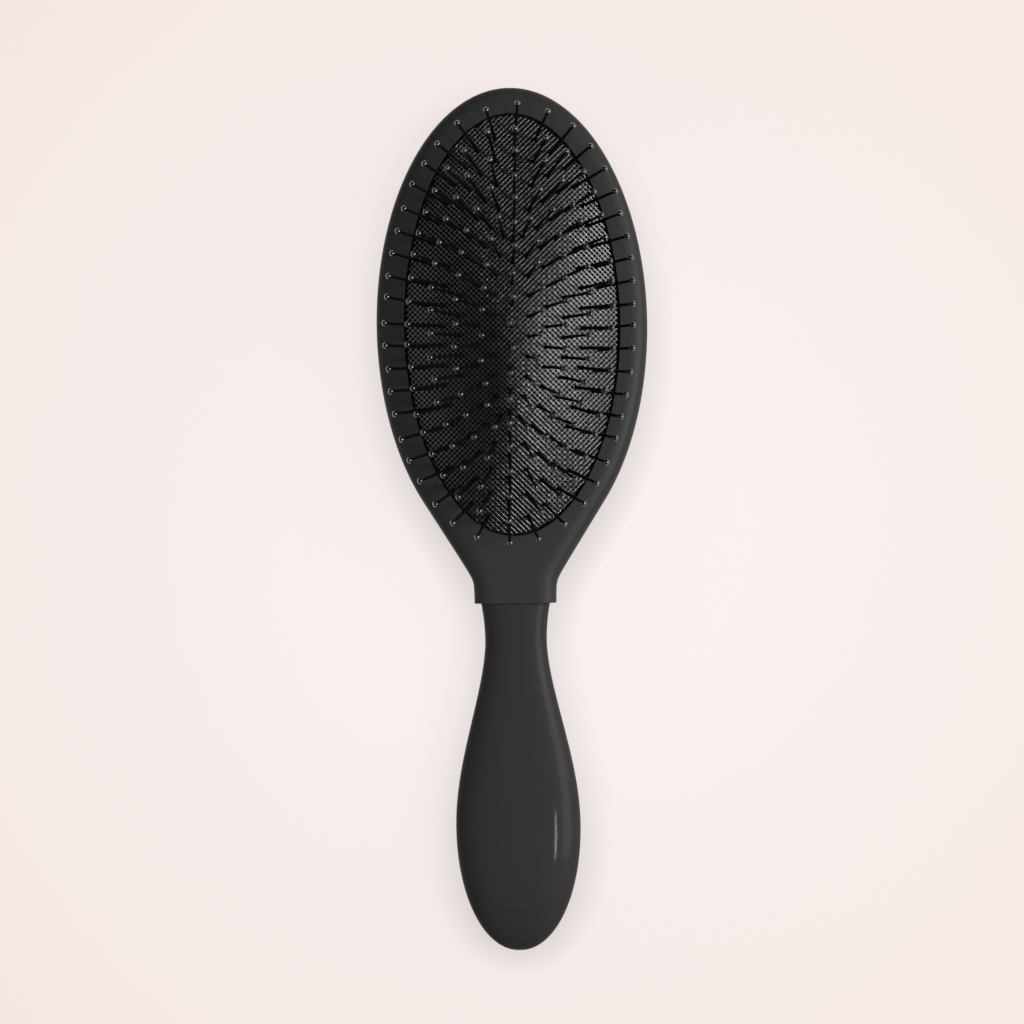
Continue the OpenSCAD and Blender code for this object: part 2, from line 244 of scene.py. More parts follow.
shellFinish = mouldedPlastic("satin_moulded_abs", satinAbs)
gripFinish = mouldedPlastic("soft_touch_coating", softTouch)
shaftFinish = plainPlastic("drawn_black_nylon", drawnNylon)
ballFinish = plainPlastic("glossy_dipped_ball", dippedBall)
rubberFinish = plainPlastic("moulded_black_rubber", mouldedRubber)
threadFinish = plainPlastic("woven_polyester_thread", wovenPolyester)
innerFinish = plainPlastic("plain_grey_abs", greyAbs)
print("materials made")


# The head's outline

head = {
    "topLength": 61 * mm,        # from the head's top to its widest place
    "lowLength": 61.2 * mm,      # half length of the oval below it
    "shoulderShare": 0.741,      # where the straight shoulder leaves the low oval
    "collarHalf": 10.5 * mm,
    "collarLength": 6.6 * mm,
    "collarTrim": 0.85 * mm,     # what the handle takes of the collar's end, as the photo shows
    "handleLength": 88.7 * mm,   # what the handle measures in the solids
    "shoulderBlend": 0.903 * mm,
    "edgeRise": 3.5 * mm,        # height of the rounded outer edge
    "rimCrown": 5.4 * mm,        # how far in from the edge the rim is still crowned
    "crownPower": 3.0,           # 2 is a quarter of an ellipse, more is squarer
    "seamChamfer": 0.22 * mm,
    "lipThick": 1.6 * mm,
    "cavity": 4.0 * mm,          # how far the space under the lip reaches past the opening
    "landShare": 0.5,            # size of the back's flat
    "collarLift": 1.4 * mm,
    "endLean": 0.006,            # share of a ring's inset by which the collar's end face leans back
    "tipGap": 0.0004,            # share of the top's length at which each side starts
    "topSteps": 64,
    "lowSteps": 36,
    "shoulderSteps": 48,
    "endPoints": 24,             # across the collar's end face
}
frontLow, frontHigh = boxOf("head_front")
head["halfWidth"] = frontHigh[0]
head["rimZ"] = frontHigh[2]
head["partZ"] = frontLow[2]
head["lipZ"] = boxOf("cushion_clamp")[1][2] + head["lipThick"]
share = head["shoulderShare"]
head["shoulderAt"] = head["topLength"] + head["lowLength"] * share
head["shoulderHalf"] = head["halfWidth"] * math.sqrt(1 - share ** 2)
head["shoulderSlope"] = head["halfWidth"] / head["lowLength"] * share / math.sqrt(1 - share ** 2)
head["collarAt"] = (head["shoulderAt"]
                    + (head["shoulderHalf"] - head["collarHalf"]) / head["shoulderSlope"])
head["length"] = head["collarAt"] + head["collarLength"]
head["top"] = (head["length"] + head["handleLength"]) / 2
head["length"] -= head["collarTrim"]


def headHalf(d):
    # half width at a distance d from the top: an upper half ellipse, a lower one, then a straight
    # shoulder that a hyperbola bends into the collar
    upper = head["halfWidth"] * np.sqrt(np.clip(1 - (1 - d / head["topLength"]) ** 2, 0, 1))
    t = (d - head["topLength"]) / head["lowLength"]
    lower = head["halfWidth"] * np.sqrt(np.clip(1 - t ** 2, 0, 1))
    rise = head["shoulderHalf"] - head["collarHalf"]
    over = (rise - head["shoulderBlend"] ** 2 / (4 * rise)
            - head["shoulderSlope"] * (d - head["shoulderAt"]))
    neck = head["collarHalf"] + (over + np.sqrt(over ** 2 + head["shoulderBlend"] ** 2)) / 2
    return np.where(d <= head["topLength"], upper, np.where(d <= head["shoulderAt"], lower, neck))


def headPlaces():
    # distances from the top: even steps of angle on the two ovals, even steps of length after them
    first = math.acos(1 - head["tipGap"])
    top = head["topLength"] * (1 - np.cos(np.linspace(first, math.pi / 2, head["topSteps"])))
    last = math.asin(head["shoulderShare"])
    angles = np.linspace(0, last, head["lowSteps"] + 1)[1:]
    low = head["topLength"] + head["lowLength"] * np.sin(angles)
    shoulder = np.linspace(head["shoulderAt"], head["length"], head["shoulderSteps"] + 1)[1:]
    return np.concatenate([top, low, shoulder])


places = headPlaces()
stepSize = 0.02 * mm
before, after = np.maximum(places - stepSize, 0), places + stepSize
slope = (headHalf(after) - headHalf(before)) / (after - before)
slope[-1] = 0                    # square at the collar's end
rightSide = np.stack([headHalf(places), head["top"] - places], -1)
rightNormal = np.stack([np.ones_like(slope), slope], -1)
rightNormal /= np.linalg.norm(rightNormal, axis=1, keepdims=True)
endShares = np.linspace(1, -1, head["endPoints"] + 2)[1:-1]


def closedRing(right, across):
    # the right side from the top down, across the collar's end, and the left side back up
    flip = right[::-1] * np.array([-1, 1] + [1] * (right.shape[1] - 2))
    return np.concatenate([right, across, flip])


def insetRing(e, z):
    # the outline moved in by e along its normal, at the height z; the end face leans back
    # a little, so that no two rings share a line
    right = rightSide - rightNormal * e
    endY = np.full(len(endShares), right[-1, 1] + e * head["endLean"])
    ring = closedRing(right, np.stack([endShares * right[-1, 0], endY], -1))
    return np.column_stack([ring, np.full(len(ring), z)])


# The cushion's oval and dome

pad = {
    "centre": 61.1 * mm,         # from the head's top
    "apertureA": 27.7 * mm,
    "apertureB": 54.2 * mm,
    "gap": 0.4 * mm,
    "edgeDrop": 0.6 * mm,
    "crown": 11.4 * mm,
    "crownPower": 1.75,          # 2 is a parabola, less is steeper near the middle
    "lipRound": 0.2 * mm,
    "under": 0.75 * mm,          # how far the rubber lies below the face of the weave
    "body": 3.0 * mm,            # thickness of the rubber's dome
    "wall": 1.6 * mm,            # thickness of its flange
    "flange": 3.3 * mm,
    "flangeGap": 0.05 * mm,      # left between the flange and the lip
    "neckRows": [(0.985, 1.2 * mm), (0.99, 0.7 * mm)],   # share of the oval, depth below its edge
    "foldRise": 2.9 * mm,        # height above the edge from which the dome sinks in full
    "points": 240,
}
pad["y"] = head["top"] - pad["centre"]
pad["a"] = pad["apertureA"] - pad["gap"]
pad["b"] = pad["apertureB"] - pad["gap"]
pad["edgeZ"] = head["rimZ"] - pad["edgeDrop"]


def ovalAt(a, b, t):
    # ellipse about the cushion's centre
    return np.stack([a * np.cos(t), b * np.sin(t)], -1)


def radiusShare(x, y):
    # 0 at the cushion's centre, 1 on its oval edge
    return np.hypot(x / pad["a"], y / pad["b"])


def domeZ(x, y):
    # the crown falls with a power of the radius share
    return pad["edgeZ"] + pad["crown"] * (1 - radiusShare(x, y) ** pad["crownPower"])


def domeSlope(x, y):
    # the dome's rise along x and along y, from its heights a small step either side
    step = 0.05 * mm
    return ((domeZ(x + step, y) - domeZ(x - step, y)) / (2 * step),
            (domeZ(x, y + step) - domeZ(x, y - step)) / (2 * step))


def spacedOval(a, b, count):
    # count points at even steps of arc, clockwise from the oval's top
    path = ovalAt(a, b, np.radians(90 - np.linspace(0, 360, 1441)))
    run = np.concatenate([[0], np.cumsum(np.linalg.norm(np.diff(path, axis=0), axis=1))])
    at = run[-1] * np.arange(count) / count
    return np.stack([np.interp(at, run, path[:, 0]), np.interp(at, run, path[:, 1])], -1)


# The two casings of the head

def frontCasing():
    # one closed shell from the parting over the rim, into the opening and back under the lip. The
    # rim rises with the root of 1 - (1 - u) to the crown power, with u the share of its width
    outline = insetRing(0, 0)[:, :2]
    toCentre = insetRing(head["rimCrown"], 0)[:, :2] - np.array([0, pad["y"]])
    angle = np.arctan2(toCentre[:, 1] / pad["apertureB"], toCentre[:, 0] / pad["apertureA"])

    def ovalRing(grow, z):
        # the opening's ellipse, wider by grow, at the height z
        p = ovalAt(pad["apertureA"] + grow, pad["apertureB"] + grow, angle)
        p = p + np.array([0, pad["y"]])
        return np.column_stack([p, np.full(len(p), z)])

    base = head["rimZ"] - head["edgeRise"]
    side = outline[:len(places)]
    sides = np.stack([np.concatenate([side[:-1], side[:-1] * [-1, 1]]),
                      np.concatenate([side[1:], side[1:] * [-1, 1]])])

    def crowned(ring):
        # the rim's height follows the true distance to the outline's two sides
        a, b = sides[0][None], sides[1][None]
        p = ring[:, None, :2]
        t = np.clip(((p - a) * (b - a)).sum(-1) / ((b - a) ** 2).sum(-1), 0, 1)
        e = np.linalg.norm(p - a - (b - a) * t[..., None], axis=-1).min(1)
        u = np.clip(e / head["rimCrown"], 0, 1)
        ring = ring.copy()
        ring[:, 2] = base + head["edgeRise"] * np.sqrt(1 - (1 - u) ** head["crownPower"])
        return ring

    sideFoot = head["partZ"] + head["seamChamfer"]
    rings = [insetRing(head["seamChamfer"], head["partZ"]), insetRing(0, sideFoot)]
    rings += [insetRing(0, z) for z in np.linspace(sideFoot, base, 4)[1:]]
    rings += [crowned(insetRing(e, 0))
              for e in head["rimCrown"] * np.linspace(0, 1, 22)[1:] ** 1.7]   # closer near the edge
    edge = rings[-1]
    lip = ovalRing(pad["lipRound"], head["rimZ"])
    rings += [crowned(edge + (lip - edge) * s) for s in np.linspace(0, 1, 14)[1:]]
    lipTop = rings[-1][:, 2]
    for t in np.radians([22.5, 45, 67.5, 90]):
        ring = ovalRing(pad["lipRound"] * (1 - math.sin(t)), 0)
        ring[:, 2] = lipTop - pad["lipRound"] * (1 - math.cos(t))
        rings.append(ring)
    rings += [ovalRing(0, head["lipZ"]), ovalRing(head["cavity"], head["lipZ"])]
    rings += [ovalRing(head["cavity"], head["partZ"])]
    return stackPiece("front_casing", rings, shellFinish, wrap=True)


def backCasing():
    # a quarter of an ellipse in section, from the flat out to the side. A ring's size s shrinks it
    # about the widest place above that and sideways below it, and h is its height's share
    def ring(s, h, chamfer=0.0):
        d = places
        past = (d - head["shoulderAt"]) / (head["length"] - head["shoulderAt"])
        lift = head["collarLift"] * smooth(past)
        x = headHalf(d) * s - chamfer
        topY = (head["top"] - head["topLength"] + (head["topLength"] - d) * s
                - chamfer * (1 - d / head["topLength"]))
        y = np.where(d < head["topLength"], topY, head["top"] - d)
        z = lift + (head["partZ"] - lift) * h
        right = np.column_stack([x, y, z])
        across = np.column_stack([endShares * x[-1], np.full(len(endShares), y[-1]),
                                  np.full(len(endShares), z[-1])])
        return closedRing(right, across)

    land = head["landShare"]
    rings = [ring(land * s, 0) for s in (0.03, 0.25, 0.5, 0.75, 0.94)]
    rings += [ring(land + (1 - land) * math.cos(t), 1 - math.sin(t))
              for t in np.radians(np.linspace(90, 3, 20))]
    rings += [ring(1, 1 - head["seamChamfer"] / head["partZ"]), ring(1, 1, head["seamChamfer"])]
    rings += [ring(s, 1) for s in (0.8, 0.4, 0.03)]
    return stackPiece("back_casing", rings, shellFinish)


frontPiece = frontCasing()
backPiece = backCasing()
for piece, node in ((frontPiece, "head_front"), (backPiece, "head_back")):
    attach(piece, "frame")
    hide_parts(node)
print("casings made")


# Handle

handle = {
    "length": head["handleLength"] + head["collarTrim"],
    "rootHalf": 8.89 * mm,
    "neckHalf": 7.95 * mm,
    "neckAt": 9.75 * mm,
    "neckDepth": 5.1 * mm,
    "half": 16.05 * mm,          # half width at the widest place
    "depth": 7 * mm,             # half thickness there
    "midZ": 7 * mm,
    "swellPower": 0.89,
    "endLength": 32.2 * mm,
    "endPower": 2.06,            # 2 is an ellipse, more is blunter
    "endDepthPower": 2.6,
    "power": 3.5,                # of the cross-section: 2 is an ellipse, more is squarer
    "capLength": 11 * mm,
    "seamWidth": 0.03 * mm,
    "seamDepth": 0.3 * mm,
    "seamEase": 0.05 * mm,       # length over which an edge of the seam is eased
    "seamInset": 0.03 * mm,      # and how far it is eased in
    "seamLead": 0.3 * mm,        # where the long run of rings stops short of the seam
    "tipShare": 0.99985,         # where the last ring stands on the end's length
    # the root's end face from its middle out: distance and inset in mm, and size
    "rootRows": [(0.05, 0.3, 0.05), (0.05, 0.3, 0.5), (0.05, 0.3, 0.9), (0.02, 0.1, 1),
                 (0.15, 0, 1)],
    "gripRings": 96,
    "endRings": 40,
    "points": 144,
}
handle["start"] = head["top"] - head["length"]
handle["widestAt"] = handle["length"] - handle["endLength"]
handle["seamAt"] = handle["length"] - handle["capLength"]


def handleHalf(d):
    # half width: the neck narrows in a parabola, swells in an S curve and ends in half
    # a superellipse
    neckSpan = handle["rootHalf"] - handle["neckHalf"]
    neck = handle["neckHalf"] + neckSpan * (1 - d / handle["neckAt"]) ** 2
    u = np.clip((d - handle["neckAt"]) / (handle["widestAt"] - handle["neckAt"]), 0, 1)
    swellSpan = handle["half"] - handle["neckHalf"]
    swell = handle["neckHalf"] + swellSpan * smooth(u ** handle["swellPower"])
    v = np.clip((d - handle["widestAt"]) / handle["endLength"], 0, 1)
    end = handle["half"] * (1 - v ** handle["endPower"]) ** (1 / handle["endPower"])
    return np.where(d < handle["neckAt"], neck, np.where(d < handle["widestAt"], swell, end))


def handleDepth(d):
    # half thickness: one S curve from the neck to the widest place, then half a superellipse
    span = handle["depth"] - handle["neckDepth"]
    swell = handle["neckDepth"] + span * smooth(d / handle["widestAt"])
    v = np.clip((d - handle["widestAt"]) / handle["endLength"], 0, 1)
    end = handle["depth"] * (1 - v ** handle["endDepthPower"]) ** (1 / handle["endDepthPower"])
    return np.where(d < handle["widestAt"], swell, end)


def handleRing(d, inset=0.0, scale=1.0):
    # a superellipse cross-section, clockwise seen from the handle's end
    t = np.radians(90 - 360 * (np.arange(handle["points"]) + 0.5) / handle["points"])
    e = 2 / handle["power"]
    w = (handleHalf(np.array(d)) - inset) * scale
    h = (handleDepth(np.array(d)) - inset) * scale
    return np.column_stack([w * np.sign(np.cos(t)) * np.abs(np.cos(t)) ** e,
                            np.full(len(t), handle["start"] - d),
                            handle["midZ"] + h * np.sign(np.sin(t)) * np.abs(np.sin(t)) ** e])


def handleGrip():
    # cross-sections carried from the root to the near edge of the seam, closed at both ends
    depth, rootRows = handle["seamDepth"], handle["rootRows"]
    rings = [handleRing(d * mm, inset * mm, scale) for d, inset, scale in rootRows]
    edge = handle["seamAt"] - handle["seamWidth"] / 2
    run = np.linspace(rootRows[-1][0] * mm, edge - handle["seamLead"], handle["gripRings"])
    rings += [handleRing(d) for d in run[1:]]
    rings += [handleRing(edge - handle["seamEase"]), handleRing(edge, handle["seamInset"])]
    rings += [handleRing(edge, depth), handleRing(handle["seamAt"], depth)]
    rings += [handleRing(handle["seamAt"], depth, s) for s in (0.6, 0.05)]
    return stackPiece("grip", rings, gripFinish)


def endCap():
    # cross-sections from the far edge of the seam to the tip, closer together towards it
    depth = handle["seamDepth"]
    edge = handle["seamAt"] + handle["seamWidth"] / 2
    rings = [handleRing(edge, depth, s) for s in (0.05, 0.6, 1)]
    rings += [handleRing(edge, handle["seamInset"]), handleRing(edge + handle["seamEase"])]
    first = edge + handle["seamLead"]
    last = handle["widestAt"] + handle["endLength"] * handle["tipShare"]
    turns = np.linspace(0, math.pi / 2, handle["endRings"])
    rings += [handleRing(first + (last - first) * math.sin(t)) for t in turns]
    return stackPiece("end_cap_shell", rings, gripFinish)


gripPiece = handleGrip()
capPiece = endCap()
for piece, node in ((gripPiece, "handle_grip"), (capPiece, "end_cap")):
    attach(piece, "frame")
    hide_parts(node)
print("handle made")


# Rubber cushion under the weave

def cushionDome():
    # a closed membrane: an underside and a top that both follow the dome, joined by a flange
    # under the lip and a drawn-in neck
    t = np.radians(90 - 360 * (np.arange(pad["points"]) + 0.5) / pad["points"])

    def ring(scale, grow, z=None, drop=0.0):
        # the cushion's ellipse, scaled and widened, at a height or a drop below the dome
        p = ovalAt(pad["a"] * scale + grow, pad["b"] * scale + grow, t)
        height = domeZ(p[:, 0], p[:, 1]) - drop if z is None else np.full(len(p), z)
        return np.column_stack([p[:, 0], p[:, 1] + pad["y"], height])

    shares = np.concatenate([np.linspace(0.02, 0.9, 24), np.linspace(0.92, 0.995, 8)])
    low, high = head["lipZ"] - pad["wall"], head["lipZ"] - pad["flangeGap"]
    narrow, wide = pad["neckRows"][0][0], pad["neckRows"][1][0]
    rings = [ring(s, 0, None, pad["under"] + pad["body"]) for s in shares[:-10]]
    rings += [ring(narrow, 0, low), ring(narrow, pad["flange"], low)]
    rings += [ring(narrow, pad["flange"], high), ring(wide, 0, high)]
    rings += [ring(s, 0, pad["edgeZ"] - depth) for s, depth in pad["neckRows"]]
    rings += [ring(s, 0, None, pad["under"]) for s in shares[::-1]]
    return stackPiece("rubber_cushion", rings, rubberFinish)


# Woven facing: two families of threads at right angles, over and under

weave = {
    "pitch": 0.97 * mm,
    "half": 0.15 * mm,           # half width of a thread
    "thin": 0.15 * mm,           # half thickness
    "wave": 0.03 * mm,           # how far a thread rises and dips at its crossings
    "sink": 0.09 * mm,           # how far a thread's middle lies below the facing
    "turn": 45.0,                # degrees from the brush's length
    "over": 0.2 * mm,            # how far the threads reach past the rubber's edge
    "lastShare": 0.992,          # past this share of the oval a thread goes straight to its end
    "fewest": 4,                 # a thread with fewer stations is left out
    "endDip": 0.25 * mm,         # how far its ends bend down
    "tuckDip": 1.1 * mm,         # how far they are then tucked in
}


def threadShare(x, y):
    # 0 at the cushion's centre, 1 on the weave's oval edge
    return np.hypot(x / (pad["a"] + weave["over"]), y / (pad["b"] + weave["over"]))


def wovenThreads(name, family):
    # threads along one diagonal of the plan, laid on the dome. A thread's height swings as a cosine
    # between the crossings, one family up where the other is down. Each tube has four sides.
    pitch = weave["pitch"]
    reach = int(math.ceil((pad["a"] + pad["b"]) / pitch)) + 2
    k = np.arange(-reach, reach + 1)
    j = np.arange(-2 * reach, 2 * reach + 1)
    turn = np.radians(weave["turn"] + (90 if family else 0))
    along = np.array([math.cos(turn), math.sin(turn)])
    side = np.array([-along[1], along[0]])
    u = (k + 0.5) * pitch
    v = j * pitch / 2
    plan = u[:, None, None] * side + v[None, :, None] * along
    inside = threadShare(plan[..., 0], plan[..., 1]) < weave["lastShare"]
    keep = inside.sum(1) >= weave["fewest"]
    plan, inside, k = plan[keep], inside[keep], k[keep]
    first = inside.argmax(1)
    last = inside.shape[1] - 1 - inside[:, ::-1].argmax(1)
    rows = np.arange(len(k))

    def edgePoint(start, direction):
        # halving from the last inner station to the oval's edge
        low, high = np.zeros(len(rows)), np.full(len(rows), pitch)
        for step in range(24):
            middle = (low + high) / 2
            p = start + middle[:, None] * direction
            out = threadShare(p[:, 0], p[:, 1]) > 1.0
            high, low = np.where(out, middle, high), np.where(out, low, middle)
        return start + low[:, None] * direction

    headEnd = edgePoint(plan[rows, first], -along)
    tailEnd = edgePoint(plan[rows, last], along)
    # stations before the first and after the last become the tucked-in ends
    station = np.arange(len(v))[None, :]
    isHead, isHeadTuck = station == (first - 1)[:, None], station == (first - 2)[:, None]
    isTail, isTailTuck = station == (last + 1)[:, None], station == (last + 2)[:, None]
    for mask, end in ((isHead | isHeadTuck, headEnd), (isTail | isTailTuck, tailEnd)):
        r, c = np.nonzero(mask)
        plan[r, c] = end[r]
    used = inside | isHead | isHeadTuck | isTail | isTailTuck
    x, y = plan[..., 0], plan[..., 1]
    phase = np.cos(math.pi * (v[None, :] / pitch)) * np.where(k % 2 == 0, 1, -1)[:, None]
    phase = phase * (1 if family else -1)
    dome = domeZ(x, y)
    z = dome - weave["sink"] + phase * weave["wave"]
    z = np.where(isHead | isTail, dome - weave["endDip"], z)
    z = np.where(isHeadTuck | isTailTuck, dome - weave["tuckDip"], z)
    centre = np.stack([x, y + pad["y"], z], -1)
    gx, gy = domeSlope(x, y)
    up = np.stack([-gx, -gy, np.ones_like(gx)], -1)
    up /= np.linalg.norm(up, axis=-1, keepdims=True)
    rise = gx * side[0] + gy * side[1]
    sideways = np.concatenate([np.broadcast_to(side, plan.shape), rise[..., None]], -1)
    sideways /= np.linalg.norm(sideways, axis=-1, keepdims=True)
    corners = np.stack([centre + up * weave["thin"], centre - sideways * weave["half"],
                        centre - up * weave["thin"], centre + sideways * weave["half"]], 2)
    number = -np.ones(used.shape, int)
    number[used] = np.arange(used.sum())
    r, c = np.nonzero(used[:, :-1] & used[:, 1:])
    a, b = number[r, c][:, None] * 4, number[r, c + 1][:, None] * 4
    s = np.arange(4)
    after = (s + 1) % 4
    tubes = np.stack([a + s, a + after, b + after, b + s], -1).reshape(-1, 4)
    heads = number[isHeadTuck][:, None] * 4 + s[::-1]
    tails = number[isTailTuck][:, None] * 4 + s
    points = corners[used].reshape(-1, 3)
    return meshFrom(name, points, np.concatenate([tubes, heads, tails]), threadFinish)


cushionPiece = cushionDome()
weftPiece = wovenThreads("facing_weft", 0)
warpPiece = wovenThreads("facing_warp", 1)
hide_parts("cushion")
# each piece's transform is baked into its mesh
for piece, below in ((cushionPiece, pad["under"]), (weftPiece, 0), (warpPiece, 0)):
    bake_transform(piece)
print("cushion and weave made", len(weftPiece.data.polygons), len(warpPiece.data.polygons))


# Pins

pins = {
    "length": 17.3 * mm,
    "counts": [44, 40, 34, 28, 22],
    "marginSide": 4.9 * mm,
    "marginEnd": 4.2 * mm,
    "drop": 0.9 * mm,            # how far their field sits below the middle of the facing
    "turn": -1.7,                # degrees that it sits askew, as pads do in their opening
    "middleCount": 9,
    "middlePitch": 5.4 * mm,
    "ball": 0.82 * mm,           # radius
    "tipRadius": 0.35 * mm,      # of the shaft where it enters the ball
    "sides": 8,
    # radius and height in mm of the boss at the root and of the shaft's foot
    "foot": [(0.65, -0.5), (0.65, 0.1), (0.52, 0.38), (0.46, 0.55)],
    "ballTurns": [136, 102, 72, 42, 12],   # degrees from the ball's top, from the shaft up
    "stray": 1.0,                # degrees that a pin strays from square to the dome
    "firstSeed": 7,
    # how far the outer tips lean aside in mm, by waves of the angle round the oval:
    # 1, cos, sin, cos 2, sin 2, cos 3, sin 3
    "leanX": [-0.26, 0.66, -0.32, -0.48, 0.34, -0.68, 0.11],
    "leanY": [0.15, -0.15, 0.12, -0.05, -0.23, 0.0, -0.20],
}


def pinBases():
    # even steps of arc on ovals that shrink by equal gaps from the margins to the middle row,
    # all turned and lowered as one
    middleHalf = pins["middlePitch"] * (pins["middleCount"] - 1) / 2
    rows = len(pins["counts"])
    gapX = (pad["a"] - pins["marginSide"]) / rows
    gapY = (pad["b"] - pins["marginEnd"] - middleHalf) / rows
    rings = [spacedOval(gapX * (rows - i), middleHalf + gapY * (rows - i), n)
             for i, n in enumerate(pins["counts"])]
    middle = np.stack([np.zeros(pins["middleCount"]),
                       middleHalf - pins["middlePitch"] * np.arange(pins["middleCount"])], -1)
    c, s = math.cos(math.radians(pins["turn"])), math.sin(math.radians(pins["turn"]))
    return [p @ np.array([[c, s], [-s, c]]) - np.array([0, pins["drop"]]) for p in rings + [middle]]


def tipLean(x, y):
    # waves of the angle round the oval, growing with the distance from its middle
    angle = np.arctan2(y / pad["b"], x / pad["a"])
    growth = radiusShare(x, y) / radiusShare(pad["a"] - pins["marginSide"], 0)
    waves = [f(k * angle) for k in (1, 2, 3) for f in (np.cos, np.sin)]
    waves = np.stack([np.ones_like(angle)] + waves)
    lean = np.stack([pins["leanX"] @ waves, pins["leanY"] @ waves, 0 * angle], -1)
    return lean * growth[:, None] * mm


def pinField(name, bases, seed):
    # each pin is a profile turned about its own axis, which stands square to the dome
    random = np.random.default_rng(seed)
    r, n = pins["ball"], pins["length"]
    profile = [(radius * mm, height * mm) for radius, height in pins["foot"]]
    profile += [(pins["tipRadius"], n - 2.0 * r)]
    shaftLevels = len(profile) - 1
    profile += [(r * math.sin(a), n - r + r * math.cos(a)) for a in np.radians(pins["ballTurns"])]
    profile = np.array(profile)
    x, y = bases[:, 0], bases[:, 1]
    gx, gy = domeSlope(x, y)
    up = np.stack([-gx, -gy, np.ones(len(x))], -1)
    up /= np.linalg.norm(up, axis=1, keepdims=True)
    astray = np.tan(np.radians(pins["stray"])) * random.standard_normal(up.shape) * [1, 1, 0]
    up += astray + tipLean(x, y) / (n - r)
    up /= np.linalg.norm(up, axis=1, keepdims=True)
    one = np.cross(np.broadcast_to([0.0, 1.0, 0.0], up.shape), up)
    one /= np.linalg.norm(one, axis=1, keepdims=True)
    two = np.cross(up, one)
    t = np.linspace(0, 2 * math.pi, pins["sides"], endpoint=False)
    root = np.stack([x, y + pad["y"], domeZ(x, y)], -1)
    rim = one[:, None, :] * np.cos(t)[:, None] + two[:, None, :] * np.sin(t)[:, None]
    points = (root[:, None, None] + profile[None, :, 1, None, None] * up[:, None, None]
              + profile[None, :, 0, None, None] * rim[:, None])
    # these rings run the other way round than a stack's, so its faces are turned over
    levels, m = len(profile), pins["sides"]
    faces = stackFaces(levels, m)[:, [0, 3, 2, 1]]
    glossy = np.zeros(len(faces), np.int32)
    glossy[shaftLevels * m:] = 1
    faces = (np.arange(len(bases))[:, None, None] * levels * m + faces).reshape(-1, 4)
    field = meshFrom(name, points.reshape(-1, 3), faces, shaftFinish)
    field.data.materials.append(ballFinish)
    field.data.polygons.foreach_set("material_index", np.tile(glossy, len(bases)))
    return field


pinNodes = ["bristles_ring_%d" % (i + 1) for i in range(len(pins["counts"]))] + ["bristles_middle"]
for number, (bases, node) in enumerate(zip(pinBases(), pinNodes)):
    field = pinField(node.replace("bristles", "pins"), bases, pins["firstSeed"] + number)
    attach(field, "pad")
    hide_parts(node)
for node in ("cushion_clamp", "handle_core"):
    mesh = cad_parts[node].data
    mesh.materials.clear()
    mesh.materials.append(innerFinish)
print("pins made")


# Floor, light and camera

stage = {
    "floor": "#403e3d",
    "glow": "#fbf3f1",           # near the brush: a painted pool of light, lighter than the far glow
    "glowFar": "#f6e9e4",
    "poolFrom": 0.06,            # metres from the middle over which the painted pool of light fades into the far glow
    "poolTo": 0.20,
    "lift": 0.91,                # what the floor adds for the camera and in reflections
    "paintedShadowDepth": 0.42,           # share of it taken away as painted shadow where the brush hides the sky
    "paintedShadowReach": 10 * mm,
    "paintedShadowTilt": (-0.12, 0.80, 0.62),   # tilt of the painted shadow's hemisphere, towards where the soft light over the table mostly comes from, so the painted shadow is darkest below the handle's end
    "paintedShadowSamples": 16,
    "world": 0.32,
    "worldInGloss": 0.08,        # reflections see a dark room above, so the balls stay black
    "worldTint": (1.0, 0.985, 0.975, 1),
    "size": 6.0,
}


